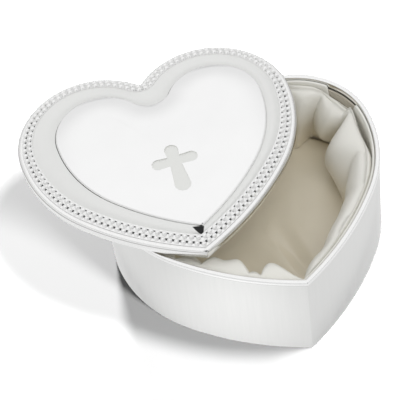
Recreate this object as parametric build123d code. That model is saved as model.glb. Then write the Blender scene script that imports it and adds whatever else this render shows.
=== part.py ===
from build123d import *
from math import acos, asin, atan2, cos, degrees, pi, radians, sin, sqrt
import os

os.makedirs("parts", exist_ok=True)

# Heart-shaped keepsake box with a loose lid, in millimetres.
# +Z is up and the box stands on Z = 0. The point of the heart looks towards -Y,
# and the origin is under the middle of the box's length and width.

# Outline of the box wall's outer face
half_width = 40.5
lobe_radius = 23.3
hip_radius = 41.0
hip_angle = 42.0
point_drop = 49.3
notch_radius = 1.2

# Box shell
box_height = 32.0
wall_thickness = 0.9
rim_height = 1.6
rim_width = 1.5
rim_proud = 0.2
rim_round = 0.55
rim_round_steps = [0, 0.3, 0.6, 0.85, 1]
felt_thickness = 1.0
base_thickness = 1.0
solder_gap = 0.05
felt_gap = 0.3

# Lining of the wall: a card strip, wadding on it, and gathered satin over both
lining_below_rim = 2.4
card_thickness = 0.5
card_gap = 0.3
wadding_gap = 0.1
satin_thickness = 0.3
foot_fold_depth = 3.4
foot_puff_depth = 3.9
middle_fold_depth = 4.4
top_fold_depth = 3.4
middle_height = 18.0

# Swelling of the puffs on the way from the foot to half height, and from there to the top:
# the share of that way in height, and the share in depth
lower_swelling = (0.4, 0.75)
upper_swelling = (0.6, 0.45)

# Puffs of the wall lining, round the heart from the notch by way of the right-hand side:
# the share of the way round where the puff ends, its depth at half height, and at the top
puffs = [
    (0.055, 7.6, 5.0),
    (0.105, 8.2, 5.4),
    (0.155, 8.4, 5.6),
    (0.206, 8.6, 5.2),
    (0.300, 12.4, 5.6),
    (0.346, 8.2, 5.0),
    (0.420, 8.0, 4.4),
    (0.500, 7.4, 4.2),
    (0.561, 9.0, 7.9),
    (0.612, 9.0, 8.0),
    (0.665, 8.6, 5.4),
    (0.722, 9.4, 5.6),
    (0.786, 9.8, 5.6),
    (0.842, 8.8, 5.2),
    (0.896, 8.2, 5.4),
    (0.948, 8.2, 5.2),
    (1.000, 7.6, 5.0),
]

# Floor pad: a card with wadding and a satin cover, laid inside the foot of the wall lining
pad_gap = 0.4
pad_card_thickness = 0.8
pad_height = 5.6
pad_draw_in = 0.5

# Round the pad's shoulder: inset of the wadding, and the share of its height
pad_profile = [(0, 0.35), (0.6, 0.7), (1.7, 0.88), (5.1, 0.97), (10.2, 1)]

# Lid frame, measured inwards from the lid's outline and up from its bottom edge
lid_overhang = 0.3
lid_edge_height = 2.0
lid_edge_chamfer = 0.2
lid_step = 0.35
moulding_width = 1.05
moulding_height = 0.85
bead_band_width = 3.3
bead_band_slope = 0.4
lid_skirt = 1.4
lid_ceiling = 2.0
moulding_shoulder = (0.2, 0.75)
cove_depth = 0.9
cove_steps = [0, 0.12, 0.24, 0.36, 0.5]

# Beaded wire, two rows on the sloping band of the lid
bead_radius = 0.78
bead_pitch = 1.93
bead_strip_thickness = 0.25
bead_row_gap = 0.08

# Domed heart plate in the middle of the lid: shares of the lid's half width, and a margin at the point.
# The plate sits a little aside of the lid's axis, as it was soldered.
plate_width_share = 0.757
plate_lobe_share = 0.345
plate_hip_share = 0.92
plate_notch_share = 0.16
plate_hip_angle = 42.0
plate_point_margin = 7.2
plate_lobe_rise = 0.6
plate_aside = 1.4
plate_thickness = 0.9
plate_ledge = 1.3
plate_rise = 2.4
plate_shoulder = 9.0

# Swell of the dome: the share of the shoulder inwards, and the share of the rise
dome_profile = [(0, 0), (0.05, 0.25), (0.12, 0.46), (0.24, 0.68), (0.42, 0.85), (0.68, 0.96), (1, 1)]

# Cross sunk into the heart plate
cross_middle = -5.4
cross_aside = 0.3
cross_lean = -4.0
cross_arm = 6.2
cross_head = 5.9
cross_foot = 11.2
cross_neck = 1.55
cross_end_radius = 2.0
cross_foot_radius = 2.35
engraving_depth = 0.15

# Padded lining under the lid
lid_pad_inset = 2.2
lid_pad_proud = 0.5
lid_pad_profile = [(4.0, 0), (1.2, 0.15), (0.3, 0.4), (0, 0.7), (0, 1)]

# The lid lies askew on the box
lid_rest_gap = 0.2
lid_shift_x = -18.5
lid_shift_y = 19.1
lid_turn = -4.4


class Heart:
    """A heart of tangent arcs, symmetric about its axis: notch, lobe, hip and flank on each side."""

    def __init__(self, lobe_x, lobe_y, lobe_r, hip_r, hip, flank_r, notch_r, aside=0.0):
        self.values = (lobe_x, lobe_y, lobe_r, hip_r, hip, flank_r, notch_r, aside)

    def grown(self, step):
        """The heart that runs parallel to this one, a step outside it."""
        lobe_x, lobe_y, lobe_r, hip_r, hip, flank_r, notch_r, aside = self.values
        return Heart(lobe_x, lobe_y, lobe_r + step, hip_r + step, hip, flank_r + step, notch_r - step, aside)

    def mixed(self, other, share):
        """A heart between this one and another."""
        return Heart(*[a + (b - a) * share for a, b in zip(self.values, other.values)])

    def arcs(self):
        """Centre, radius, start and end angle of the right half's arcs, measured from the axis."""
        lobe_x, lobe_y, lobe_r, hip_r, hip, flank_r, notch_r, aside = self.values
        notch_y = lobe_y + sqrt((lobe_r + notch_r) ** 2 - lobe_x ** 2)
        to_notch = atan2(notch_y - lobe_y, -lobe_x)
        hip_x = lobe_x - (hip_r - lobe_r)
        flank_x = hip_x - (flank_r - hip_r) * cos(hip)
        flank_y = lobe_y + (flank_r - hip_r) * sin(hip)
        point = -acos(-flank_x / flank_r)
        return [
            ((0, notch_y), notch_r, -pi / 2, to_notch - pi),
            ((lobe_x, lobe_y), lobe_r, to_notch, 0),
            ((hip_x, lobe_y), hip_r, 0, -hip),
            ((flank_x, flank_y), flank_r, -hip, point),
        ]

    def wire(self, z=0.0):
        """The closed outline at a height, from the notch round the right-hand side."""
        right = []
        for (x, y), radius, start, end in self.arcs():
            angles = (start, (start + end) / 2, end)
            right.append([(x + radius * cos(a), y + radius * sin(a)) for a in angles])
        for arc, ends in ((right[0], 0), (right[-1], 2)):
            arc[ends] = (0, arc[ends][1])
        left = [[(-x, y) for x, y in reversed(arc)] for arc in reversed(right)]
        aside = self.values[-1]
        arcs = [[Vector(x + aside, y, z) for x, y in arc] for arc in right + left]
        return Wire([Edge.make_three_point_arc(*arc) for arc in arcs])

    def spot(self, share, depth):
        """The point at a share of the way round, a depth inside the outline."""
        outline = self.wire()
        if share % 1 == 0:
            (x, y), radius, start, end = self.arcs()[0]
            place, inwards = Vector(0, y - radius, 0), Vector(0, -1, 0)
        elif share == 0.5:
            place, inwards = Vector(0, self.lowest(), 0), Vector(0, 1, 0)
        else:
            run = share * outline.length
            place = outline.position_at(run, position_mode=PositionMode.LENGTH)
            along = outline.tangent_at(run, position_mode=PositionMode.LENGTH)
            inwards = Vector(along.Y, -along.X, 0)
        return place + inwards * depth

    def lowest(self):
        """The Y of the heart's point."""
        (x, y), radius, start, end = self.arcs()[-1]
        return y + radius * sin(end)


def heart(width, lobe_r, lobe_y, hip_r, hip_degrees, drop, notch_r, aside=0.0):
    """A heart of a half width, its point a drop below the lobe centres, and its axis aside of X = 0."""
    hip = radians(hip_degrees)
    lobe_x = width - lobe_r
    outwards = (cos(hip), -sin(hip))
    hip_x = lobe_x - (hip_r - lobe_r)
    chord = (hip_x + hip_r * outwards[0], drop + hip_r * outwards[1])
    flank_r = (chord[0] ** 2 + chord[1] ** 2) / (2 * (outwards[0] * chord[0] + outwards[1] * chord[1]))
    return Heart(lobe_x, lobe_y, lobe_r, hip_r, hip, flank_r, notch_r, aside)


def stack(sections):
    """A solid through hearts at rising heights, with straight sides between them."""
    return Solid.make_loft([outline.wire(z) for outline, z in sections], True)


def slab(outline, low, high):
    """An upright solid on a heart."""
    return stack([(outline, low), (outline, high)])


def moved(sections, step, rise):
    """The same sections, grown by a step and lifted by a rise."""
    return [(outline.grown(step), z + rise) for outline, z in sections]


# Shared outlines and heights
lobe_y = (point_drop - lobe_radius) / 2
wall_heart = heart(half_width, lobe_radius, lobe_y, hip_radius, hip_angle, point_drop, notch_radius)
wall_top = box_height - rim_height
base_low = felt_thickness
lining_low = base_low + base_thickness
lining_top = box_height - lining_below_rim
inside_wall = wall_heart.grown(-wall_thickness)
card_depth = wall_thickness + card_gap
wadding_depth = card_depth + card_thickness + wadding_gap


# Box wall: a heart-shaped band
def make_box_wall():
    return slab(wall_heart, 0, wall_top) - slab(inside_wall, 0, wall_top)


# Rim: a bead with a rounded top along the edge of the wall
def make_rim_wire():
    outside = wall_heart.grown(rim_proud)
    inside = wall_heart.grown(rim_proud - rim_width)
    turns = [share * pi / 2 for share in rim_round_steps]
    bends = [(rim_round * (1 - cos(a)), box_height - rim_round * (1 - sin(a))) for a in turns]
    outer = stack([(outside, wall_top)] + [(outside.grown(-inset), z) for inset, z in bends])
    inner = stack([(inside, wall_top)] + [(inside.grown(inset), z) for inset, z in bends])
    return outer - inner


def make_base_plate():
    return slab(inside_wall.grown(-solder_gap), base_low, lining_low)


def make_base_felt():
    return slab(inside_wall.grown(-felt_gap), 0, base_low)


def make_side_card():
    outer = wall_heart.grown(-card_depth)
    top = lining_top - satin_thickness
    return slab(outer, lining_low, top) - slab(outer.grown(-card_thickness), lining_low, top)


# Wall lining: the face of the puffs is a loft through scalloped outlines
pad_low = lining_low
pad_top = pad_low + pad_card_thickness + pad_height
puff_foot = pad_top + pad_gap


def scallops(z, skin, fold, depths):
    """A closed outline of arcs, one for each puff, that meet in the folds."""
    ends = [0] + [share for share, middle, top in puffs]
    folds = [wall_heart.spot(share, fold - skin) for share in ends]
    arcs = []
    for index, depth in enumerate(depths):
        crown = wall_heart.spot((ends[index] + ends[index + 1]) / 2, depth - skin)
        arcs.append((folds[index], crown, folds[index + 1]))
    raised = [[point + Vector(0, 0, z) for point in arc] for arc in arcs]
    return Wire([Edge.make_three_point_arc(*arc) for arc in raised])


def puff_hollow(skin, low, high):
    """The space inside the puffs, with a skin left off their face."""
    foot = [foot_puff_depth] * len(puffs)
    middle = [m for share, m, t in puffs]
    top = [t for share, m, t in puffs]
    swelling = [f + (m - f) * lower_swelling[1] for f, m in zip(foot, middle)]
    upper = [m + (t - m) * upper_swelling[1] for m, t in zip(middle, top)]
    swelling_height = puff_foot + (middle_height - puff_foot) * lower_swelling[0]
    upper_height = middle_height + (lining_top - middle_height) * upper_swelling[0]
    levels = [
        (low, foot_fold_depth, foot),
        (puff_foot, foot_fold_depth, foot),
        (swelling_height, middle_fold_depth, swelling),
        (middle_height, middle_fold_depth, middle),
        (upper_height, middle_fold_depth, upper),
        (high, top_fold_depth, top),
    ]
    return Solid.make_loft([scallops(z, skin, fold, depths) for z, fold, depths in levels], True)


def make_side_wadding():
    block = slab(wall_heart.grown(-wadding_depth), lining_low, lining_top - satin_thickness)
    return block - puff_hollow(satin_thickness, lining_low, lining_top)


def make_side_satin(wadding):
    block = slab(wall_heart.grown(-wadding_depth), lining_low, lining_top)
    return block - puff_hollow(0, lining_low, lining_top) - wadding


# Floor pad: sides drawn in at the foot, full shoulders and a crowned top
pad_heart = wall_heart.grown(-foot_puff_depth - pad_gap)


def pad_sections(foot):
    """Sections of the floor pad's wadding, from a foot height to the crown."""
    rise = pad_top - satin_thickness - foot
    body = pad_heart.grown(-satin_thickness)
    return [(body.grown(-pad_draw_in), foot)] + [(body.grown(-i), foot + rise * h) for i, h in pad_profile]


def make_floor_card():
    return slab(pad_heart.grown(-pad_draw_in - satin_thickness), pad_low, pad_low + pad_card_thickness)


def make_floor_wadding():
    return stack(pad_sections(pad_low + pad_card_thickness))


def make_floor_satin(wadding):
    foot = pad_low + pad_card_thickness
    inner = pad_sections(foot)
    cover = [(inner[0][0].grown(satin_thickness), foot)] + moved(inner[1:], satin_thickness, satin_thickness)
    return stack(cover) - wadding


# Lid, built in its own frame: Z = 0 is its bottom edge
lid_heart = wall_heart.grown(lid_overhang)
moulding_low = lid_edge_height + lid_edge_chamfer
moulding_inner = lid_step + moulding_width
band_low = lid_edge_height + moulding_height
band_inner = moulding_inner + bead_band_width
crease_height = band_low + bead_band_width * bead_band_slope
band_edge = lid_heart.grown(-band_inner)
lid_half_width = half_width + lid_overhang
plate_heart = heart(lid_half_width * plate_width_share, lid_half_width * plate_lobe_share,
                    lobe_y + plate_lobe_rise, lid_half_width * plate_hip_share, plate_hip_angle,
                    point_drop - plate_point_margin, lid_half_width * plate_notch_share, plate_aside)
plate_seat = crease_height - plate_thickness


def band_height(inset):
    """Height of the sloping bead band at an inset from the lid's outline."""
    return band_low + (inset - moulding_inner) * bead_band_slope


def cove(shares, sink):
    """Sections across the concave cove between the bead band and the heart plate."""
    return [(band_edge.mixed(plate_heart, share), crease_height - sink * sin(pi * share)) for share in shares]


def make_lid_frame():
    inset, rise = moulding_shoulder
    body = stack([
        (lid_heart.grown(-lid_edge_chamfer), 0),
        (lid_heart, lid_edge_chamfer),
        (lid_heart, lid_edge_height),
        (lid_heart.grown(-lid_step), moulding_low),
        (lid_heart.grown(-lid_step - moulding_width * inset), moulding_low + (band_low - moulding_low) * rise),
        (lid_heart.grown(-moulding_inner), band_low),
        (band_edge, crease_height),
    ])
    bowl = stack(cove(reversed(cove_steps), cove_depth))
    island = stack(cove([1 - share for share in reversed(cove_steps)], cove_depth))
    cavity = slab(lid_heart.grown(-lid_skirt), 0, lid_ceiling)
    opening = slab(plate_heart.grown(-plate_ledge), lid_ceiling, crease_height)
    seat = slab(plate_heart.grown(solder_gap), plate_seat, crease_height)
    return body - (bowl - island) - cavity - opening - seat


def dome(edge, low):
    """Sections of the domed plate's top, from its edge to the crown."""
    return [(edge.grown(-plate_shoulder * inset), low + plate_rise * rise) for inset, rise in dome_profile]


def cross_outline():
    """The cross: four rounded arms that swell towards their ends, with a longer foot."""
    arms = [
        (0, cross_arm, cross_end_radius),
        (90, cross_head, cross_end_radius),
        (180, cross_arm, cross_end_radius),
        (270, cross_foot, cross_foot_radius),
    ]
    shape = None
    for turn, reach, radius in arms:
        tip = Pos(reach - radius, 0) * Circle(radius)
        arm = make_hull([*tip.edges(), *(Circle(cross_neck).edges())])
        arm = Rot(0, 0, turn) * arm
        shape = arm if shape is None else shape + arm
    return Pos(cross_aside, cross_middle) * Rot(0, 0, cross_lean) * shape


def make_heart_plate():
    top = dome(plate_heart, crease_height)
    body = stack([(plate_heart, plate_seat)] + top)
    under = moved(dome(plate_heart.grown(-plate_ledge), crease_height), 0, -plate_thickness)
    plate = body - stack(under)
    crown = crease_height + plate_rise
    cross = extrude(Pos(0, 0, plate_seat) * cross_outline(), crown - plate_seat)
    sunk = stack([(plate_heart, plate_seat - plate_thickness)] + moved(top, 0, -engraving_depth))
    return plate - (cross - sunk)


def make_bead_row(outer):
    """A row of flat-backed beads on a strip, soldered on the sloping band."""
    width = bead_band_width / 2 - bead_row_gap
    inner = outer + width
    low, high = band_height(outer), band_height(inner)
    rows = [lid_heart.grown(-outer), lid_heart.grown(-inner)]
    top = high + bead_strip_thickness
    above = stack([(rows[0], low), (rows[0], low + bead_strip_thickness), (rows[1], top)])
    below = stack([(rows[0], low), (rows[1], high), (rows[1], top)])
    middle = outer + width / 2
    line = lid_heart.grown(-middle).wire(band_height(middle) + bead_strip_thickness)
    count = round(line.length / bead_pitch)
    back = -degrees(asin(bead_strip_thickness / 2 / bead_radius))
    beads = []
    for index in range(count):
        run = (index + 0.5) * line.length / count
        place = line.position_at(run, position_mode=PositionMode.LENGTH)
        along = line.tangent_at(run, position_mode=PositionMode.LENGTH)
        upright = Vector(-along.Y * bead_band_slope, along.X * bead_band_slope, 1)
        beads.append(Solid.make_sphere(bead_radius, Plane(place, along, upright), back))
    return (above - below).fuse(*beads)


# Padded lining under the lid: it hangs a little below the edge and drops inside the rim
lid_pad_heart = lid_heart.grown(-lid_pad_inset)
lid_pad_foot = lid_ceiling - pad_card_thickness


def lid_pad_sections():
    """Sections of the hanging wadding, from its crown up to the card."""
    low = satin_thickness - lid_pad_proud
    body = lid_pad_heart.grown(-satin_thickness)
    return [(body.grown(-inset), low + (lid_pad_foot - low) * share) for inset, share in lid_pad_profile]


def make_lid_card():
    return slab(lid_pad_heart.grown(-satin_thickness), lid_pad_foot, lid_ceiling)


def make_lid_wadding():
    return stack(lid_pad_sections())


def make_lid_satin(wadding):
    sections = lid_pad_sections()
    lower = moved(sections[:-1], satin_thickness, -satin_thickness)
    return stack(lower + [(lid_pad_heart, lid_pad_foot)]) - wadding


# Where the lid lies on the box
lid_place = Location(
    (lid_shift_x, lid_shift_y, box_height + lid_rest_gap + lid_pad_proud), (0, 0, lid_turn))

side_wadding = make_side_wadding()
floor_wadding = make_floor_wadding()
lid_wadding = make_lid_wadding()
box_nodes = {
    "box_wall": make_box_wall(),
    "rim_wire": make_rim_wire(),
    "base_plate": make_base_plate(),
    "base_felt": make_base_felt(),
    "side_card": make_side_card(),
    "side_wadding": side_wadding,
    "side_satin": make_side_satin(side_wadding),
    "floor_card": make_floor_card(),
    "floor_wadding": floor_wadding,
    "floor_satin": make_floor_satin(floor_wadding),
}
lid_nodes = {
    "lid_frame": make_lid_frame(),
    "heart_plate": make_heart_plate(),
    "outer_bead_row": make_bead_row(moulding_inner),
    "inner_bead_row": make_bead_row(moulding_inner + bead_band_width / 2),
    "lid_card": make_lid_card(),
    "lid_wadding": lid_wadding,
    "lid_satin": make_lid_satin(lid_wadding),
}
placed = box_nodes | {name: shape.moved(lid_place) for name, shape in lid_nodes.items()}
for name, shape in placed.items():
    export_step(shape, f"parts/{name}.step")
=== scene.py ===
# %% [markdown]
# # A heart-shaped keepsake box
# A small silver-plated metal box lies open: its loose lid is pushed askew, and a padded satin lining shows
# beside it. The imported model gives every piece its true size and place. This script gives each piece the
# surface that it has on the real box: polished and brushed silver, beaded wire, an engraved plate and
# gathered satin.

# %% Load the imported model
from math import atan2, cos, pi, radians, sin, sqrt

import bmesh
import bpy
from mathutils import Matrix, Vector, noise


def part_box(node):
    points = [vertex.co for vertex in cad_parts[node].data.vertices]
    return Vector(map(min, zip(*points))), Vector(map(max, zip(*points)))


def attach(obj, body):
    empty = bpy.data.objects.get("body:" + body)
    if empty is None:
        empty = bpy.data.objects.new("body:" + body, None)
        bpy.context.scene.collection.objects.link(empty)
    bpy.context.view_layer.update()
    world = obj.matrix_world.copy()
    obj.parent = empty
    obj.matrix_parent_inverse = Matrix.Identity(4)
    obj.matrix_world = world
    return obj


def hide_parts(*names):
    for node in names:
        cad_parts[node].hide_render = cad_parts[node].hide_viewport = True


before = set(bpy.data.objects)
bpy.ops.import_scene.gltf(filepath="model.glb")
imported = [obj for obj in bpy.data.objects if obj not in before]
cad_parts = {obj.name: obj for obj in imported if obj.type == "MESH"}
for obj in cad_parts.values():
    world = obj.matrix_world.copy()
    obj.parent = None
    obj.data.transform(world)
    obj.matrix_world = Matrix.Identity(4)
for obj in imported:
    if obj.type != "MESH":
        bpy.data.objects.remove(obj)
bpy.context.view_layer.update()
mm = 0.001
print("nodes:", sorted(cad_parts))

# %% [markdown]
# A product photograph is taken from well away with a long lens, so that upright edges stay nearly parallel.
# The camera stands half a metre away to the front left, looks down at about 52 degrees and leans a little.
# Its turn is built from plain rotations: the heading about Z, the tilt about X, and the lean about its own
# axis.

# %% Camera
camera_place = Vector((-96.8, -299.45, 430.2)) * mm
camera_heading = radians(15.03)
camera_tilt = radians(51.84)
camera_lean = radians(-8.73)


def linked(name, data):
    """A new object in the scene, made from its data."""
    made = bpy.data.objects.new(name, data)
    bpy.context.scene.collection.objects.link(made)
    return made


camera_data = bpy.data.cameras.new("camera")
camera_data.sensor_width = 36
camera_data.lens = 162
camera = linked("camera", camera_data)
camera.matrix_world = (
    Matrix.Translation(camera_place)
    @ Matrix.Rotation(-camera_heading, 4, "Z")
    @ Matrix.Rotation(pi / 2 - camera_tilt, 4, "X")
    @ Matrix.Rotation(camera_lean, 4, "Z")
)
bpy.context.scene.camera = camera
bpy.context.scene.view_settings.view_transform = "Standard"
print("camera at", tuple(round(v, 3) for v in camera_place))

# %% [markdown]
# Polished silver has no colour of its own to speak of: it shows the room. So the room matters more than the
# lamps here. It is built from shader nodes, as every finish is, and a few helpers keep their networks short.

# %% Helpers for shader nodes
def add(tree, kind, **settings):
    """Adds a shader node and sets its properties, and its inputs by name."""
    node = tree.nodes.new(kind)
    for name, value in settings.items():
        if name in node.inputs:
            node.inputs[name].default_value = value
        else:
            setattr(node, name, value)
    return node


def ramp(tree, value, start, end, low=0, high=1):
    """An eased ramp: low where the value is under start, high where it is over end."""
    node = add(tree, "ShaderNodeMapRange", interpolation_type="SMOOTHSTEP")
    for name, number in (("From Min", start), ("From Max", end), ("To Min", low), ("To Max", high)):
        node.inputs[name].default_value = number
    tree.links.new(value, node.inputs["Value"])
    return node.outputs["Result"]


def measured(tree, operation, place, vector):
    """A place's distance from a vector, or its reach along it."""
    node = add(tree, "ShaderNodeVectorMath", operation=operation)
    node.inputs[1].default_value = vector
    tree.links.new(place, node.inputs[0])
    return node.outputs["Value"]


def combined(tree, operation, one, other):
    """Two values joined by an operation."""
    node = add(tree, "ShaderNodeMath", operation=operation)
    tree.links.new(one, node.inputs[0])
    tree.links.new(other, node.inputs[1])
    return node.outputs[0]


def tinted(tree, share, one, other):
    """A colour where the share is 0, and another one, or a node's, where it is 1."""
    node = add(tree, "ShaderNodeMix", data_type="RGBA")
    node.inputs["A"].default_value = (*one, 1)
    if isinstance(other, tuple):
        node.inputs["B"].default_value = (*other, 1)
    else:
        tree.links.new(other, node.inputs["B"])
    tree.links.new(share, node.inputs["Factor"])
    return node.outputs["Result"]


def chosen(tree, share, one, other):
    """One shader where the share is 0, the other where it is 1."""
    node = add(tree, "ShaderNodeMixShader")
    for source, target in zip((share, one, other), node.inputs):
        tree.links.new(source, target)
    return node.outputs[0]


print("node helpers ready")

# %% [markdown]
# The world is white for the camera. For reflections it is a white tent that is greyer low down, with one dark
# patch in front, like the open side of a tent, and a dark line along the horizon, where the tent ends. They
# show only where a bend of the metal turns that way, as thin dark lines. For everything else the world is a
# soft, even light.

# %% World
tent_top = 0.97
tent_low = 0.82
tent_rise = (0.25, 0.85)
ambient = 0.72
doorway_heading = Vector((0.16, -0.76, 0.57)).normalized()
doorway_edge = (0.93, 0.975)
doorway_dark = 0.03
horizon_dark = 0.5
horizon_rise = (0.04, 0.18)

world = bpy.data.worlds.new("studio")
bpy.context.scene.world = world
world.use_nodes = True
tree = world.node_tree
links = tree.links
tree.nodes.clear()
direction = add(tree, "ShaderNodeTexCoord")
height = add(tree, "ShaderNodeSeparateXYZ")
links.new(direction.outputs["Generated"], height.inputs[0])
tent = ramp(tree, height.outputs["Z"], *tent_rise, tent_low, tent_top)
horizon = ramp(tree, height.outputs["Z"], *horizon_rise, horizon_dark)
towards_doorway = measured(tree, "DOT_PRODUCT", direction.outputs["Generated"], doorway_heading)
doorway = ramp(tree, towards_doorway, *doorway_edge, 1, doorway_dark)
room = combined(tree, "MULTIPLY", combined(tree, "MULTIPLY", tent, doorway), horizon)

white = add(tree, "ShaderNodeBackground", Color=(1, 1, 1, 1), Strength=1)
soft = add(tree, "ShaderNodeBackground", Color=(1, 1, 1, 1), Strength=ambient)
mirrored = add(tree, "ShaderNodeBackground", Color=(1, 1, 1, 1))
links.new(room, mirrored.inputs["Strength"])
rays = add(tree, "ShaderNodeLightPath")
lighting = chosen(tree, rays.outputs["Is Glossy Ray"], soft.outputs[0], mirrored.outputs[0])
world_seen = chosen(tree, rays.outputs["Is Camera Ray"], lighting, white.outputs[0])
output = add(tree, "ShaderNodeOutputWorld")
links.new(world_seen, output.inputs["Surface"])
print("world nodes:", len(tree.nodes))

# %% [markdown]
# The floor is a white sweep of paper, so bright in the photograph that only the deepest part of the shadow is
# left on it: a dark edge along the box on the side away from the light, gone within a finger's width. So the
# paper has strong lamps of its own, which light nothing else. Other surfaces see the paper as pale grey, and
# in front of the box it glows brighter in a round spot: a painted reflection that puts a sheen on the wall
# beside the point.

# %% Floor
floor_size = 4.0
floor_grey = 0.04
shadow_fill = 0.05
thrown_back = 0.6
mirrored_paper = 0.86
# Painted reflection: a round spot on the paper that glows brighter, seen only in reflections
sheen_spot_place = Vector((-0.029, -0.032, 0))
sheen_spot_reach = 0.041
sheen_spot_glow = 0.27

floor_mesh = bpy.data.meshes.new("floor")
bm = bmesh.new()
bmesh.ops.create_grid(bm, x_segments=1, y_segments=1, size=floor_size / 2)
bm.to_mesh(floor_mesh)
bm.free()
floor = linked("floor", floor_mesh)
paper = bpy.data.materials.new("paper")
paper.use_nodes = True
tree = paper.node_tree
links = tree.links
tree.nodes.clear()
plain = add(tree, "ShaderNodeBsdfDiffuse", Color=(floor_grey, floor_grey, floor_grey, 1))
fill = add(tree, "ShaderNodeEmission", Color=(1, 1, 1, 1), Strength=shadow_fill)
lit = add(tree, "ShaderNodeAddShader")
links.new(plain.outputs[0], lit.inputs[0])
links.new(fill.outputs[0], lit.inputs[1])
place = add(tree, "ShaderNodeTexCoord")
# The painted reflection: brighter towards the spot's middle, seen only in reflections
from_sheen_spot = measured(tree, "DISTANCE", place.outputs["Object"], sheen_spot_place)
sheen_spot = ramp(tree, from_sheen_spot, 0, sheen_spot_reach, mirrored_paper + sheen_spot_glow, mirrored_paper)
mirrored = add(tree, "ShaderNodeEmission", Color=(1, 1, 1, 1))
links.new(sheen_spot, mirrored.inputs["Strength"])
bounced = add(tree, "ShaderNodeEmission", Color=(1, 1, 1, 1), Strength=thrown_back)
rays = add(tree, "ShaderNodeLightPath")
for_others = chosen(tree, rays.outputs["Is Glossy Ray"], bounced.outputs[0], mirrored.outputs[0])
floor_seen = chosen(tree, rays.outputs["Is Camera Ray"], for_others, lit.outputs[0])
output = add(tree, "ShaderNodeOutputMaterial")
links.new(floor_seen, output.inputs["Surface"])
floor_mesh.materials.append(paper)
print("floor", floor_size, "m")

# %% [markdown]
# One wide lamp hangs high up in front, a little to the right. It gives the satin its form and reaches in
# under the lid, and the even light of the room fills its shadows. Three small lamps light the paper alone:
# one high up on the right, one lower in front and one low behind. The paper turns grey where they are hidden.

# %% Lamps
overhead_place = Vector((0.12, -0.42, 0.9))
overhead_size = 0.6
overhead_power = 1.9

# Name, heading and rise in degrees, and share of the light on the paper
paper_lamps = [("right", -17, 69, 0.62), ("front", -66, 31, 0.33), ("behind", 79, 12, 0.52)]
paper_lamp_size = 0.2


def lamp(name, place, size, power):
    """A round lamp that looks at the box and isn't seen in its metal."""
    lamp_data = bpy.data.lights.new(name, "AREA")
    lamp_data.shape = "DISK"
    lamp_data.size = size
    lamp_data.energy = power
    made = linked(name, lamp_data)
    turn = (-place).to_track_quat("-Z", "Y")
    made.matrix_world = Matrix.Translation(place) @ turn.to_matrix().to_4x4()
    made.visible_glossy = False
    print(name, round(place.length, 3), "m away,", round(power, 1), "W")
    return made


lamp("overhead", overhead_place, overhead_size, overhead_power)
only_paper = bpy.data.collections.new("only_paper")
only_paper.objects.link(floor)
for name, heading, rise, share in paper_lamps:
    place = Vector((cos(radians(heading)) * cos(radians(rise)), sin(radians(heading)) * cos(radians(rise)),
                    sin(radians(rise))))
    power = share * pi ** 2 / (floor_grey * sin(radians(rise)))
    paper_lamp = lamp("paper_lamp_" + name, place, paper_lamp_size, power)
    paper_lamp.light_linking.receiver_collection = only_paper

# %% [markdown]
# Nearly every piece follows the same outline. On the real box it was bent round a form: a small bend in the
# notch, two wide lobes, a gentle hip, a long flank and a tight point, each bend running into the next.
# So the outline is five arcs on each side that share their tangents. A wider or narrower heart that runs
# parallel to it only changes the radii, which gives clean, evenly spaced rings to build metal from.

# %% The heart
# Steps along the notch, the lobe, the hip, the flank and the point
steps_round = (8, 46, 14, 30, 5)


class Heart:
    """A heart of tangent arcs: notch, lobe, hip, flank and point on each side of its axis."""

    def __init__(self, *values):
        self.values = values

    def grown(self, step):
        """The heart that runs parallel to this one, a step outside it."""
        lobe_x, lobe_y, lobe_r, hip_r, hip, flank_r, notch_r, point_r, aside = self.values
        return Heart(lobe_x, lobe_y, lobe_r + step, hip_r + step, hip, flank_r + step, notch_r - step,
                     max(point_r + step, 0), aside)

    def mixed(self, other, share):
        """A heart between this one and another."""
        return Heart(*[a + (b - a) * share for a, b in zip(self.values, other.values)])

    def arcs(self):
        """Centre, radius, start and end angle of the right half's arcs, measured from the axis."""
        lobe_x, lobe_y, lobe_r, hip_r, hip, flank_r, notch_r, point_r, aside = self.values
        notch_y = lobe_y + sqrt((lobe_r + notch_r) ** 2 - lobe_x ** 2)
        to_notch = atan2(notch_y - lobe_y, -lobe_x)
        hip_x = lobe_x - (hip_r - lobe_r)
        flank_x = hip_x - (flank_r - hip_r) * cos(hip)
        flank_y = lobe_y + (flank_r - hip_r) * sin(hip)
        point_y = flank_y - sqrt((flank_r - point_r) ** 2 - flank_x ** 2)
        to_point = atan2(point_y - flank_y, -flank_x)
        return [
            ((0, notch_y), notch_r, -pi / 2, to_notch - pi),
            ((lobe_x, lobe_y), lobe_r, to_notch, 0),
            ((hip_x, lobe_y), hip_r, 0, -hip),
            ((flank_x, flank_y), flank_r, -hip, to_point),
            ((0, point_y), point_r, to_point, -pi / 2),
        ]

    def ring(self, height, fineness=1):
        """Points round the heart at a height, from the notch by way of the right-hand side."""
        right = []
        for ((x, y), radius, start, end), steps in zip(self.arcs(), steps_round):
            steps *= fineness
            angles = [start + (end - start) * step / steps for step in range(steps)]
            right += [Vector((x + radius * cos(a), y + radius * sin(a), height)) for a in angles]
        (x, y), radius, start, end = self.arcs()[-1]
        point = Vector((0, y + radius * sin(end), height))
        left = [Vector((-p.x, p.y, height)) for p in reversed(right[1:])]
        return [p + Vector((self.values[-1], 0, 0)) for p in right + [point] + left]


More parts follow.
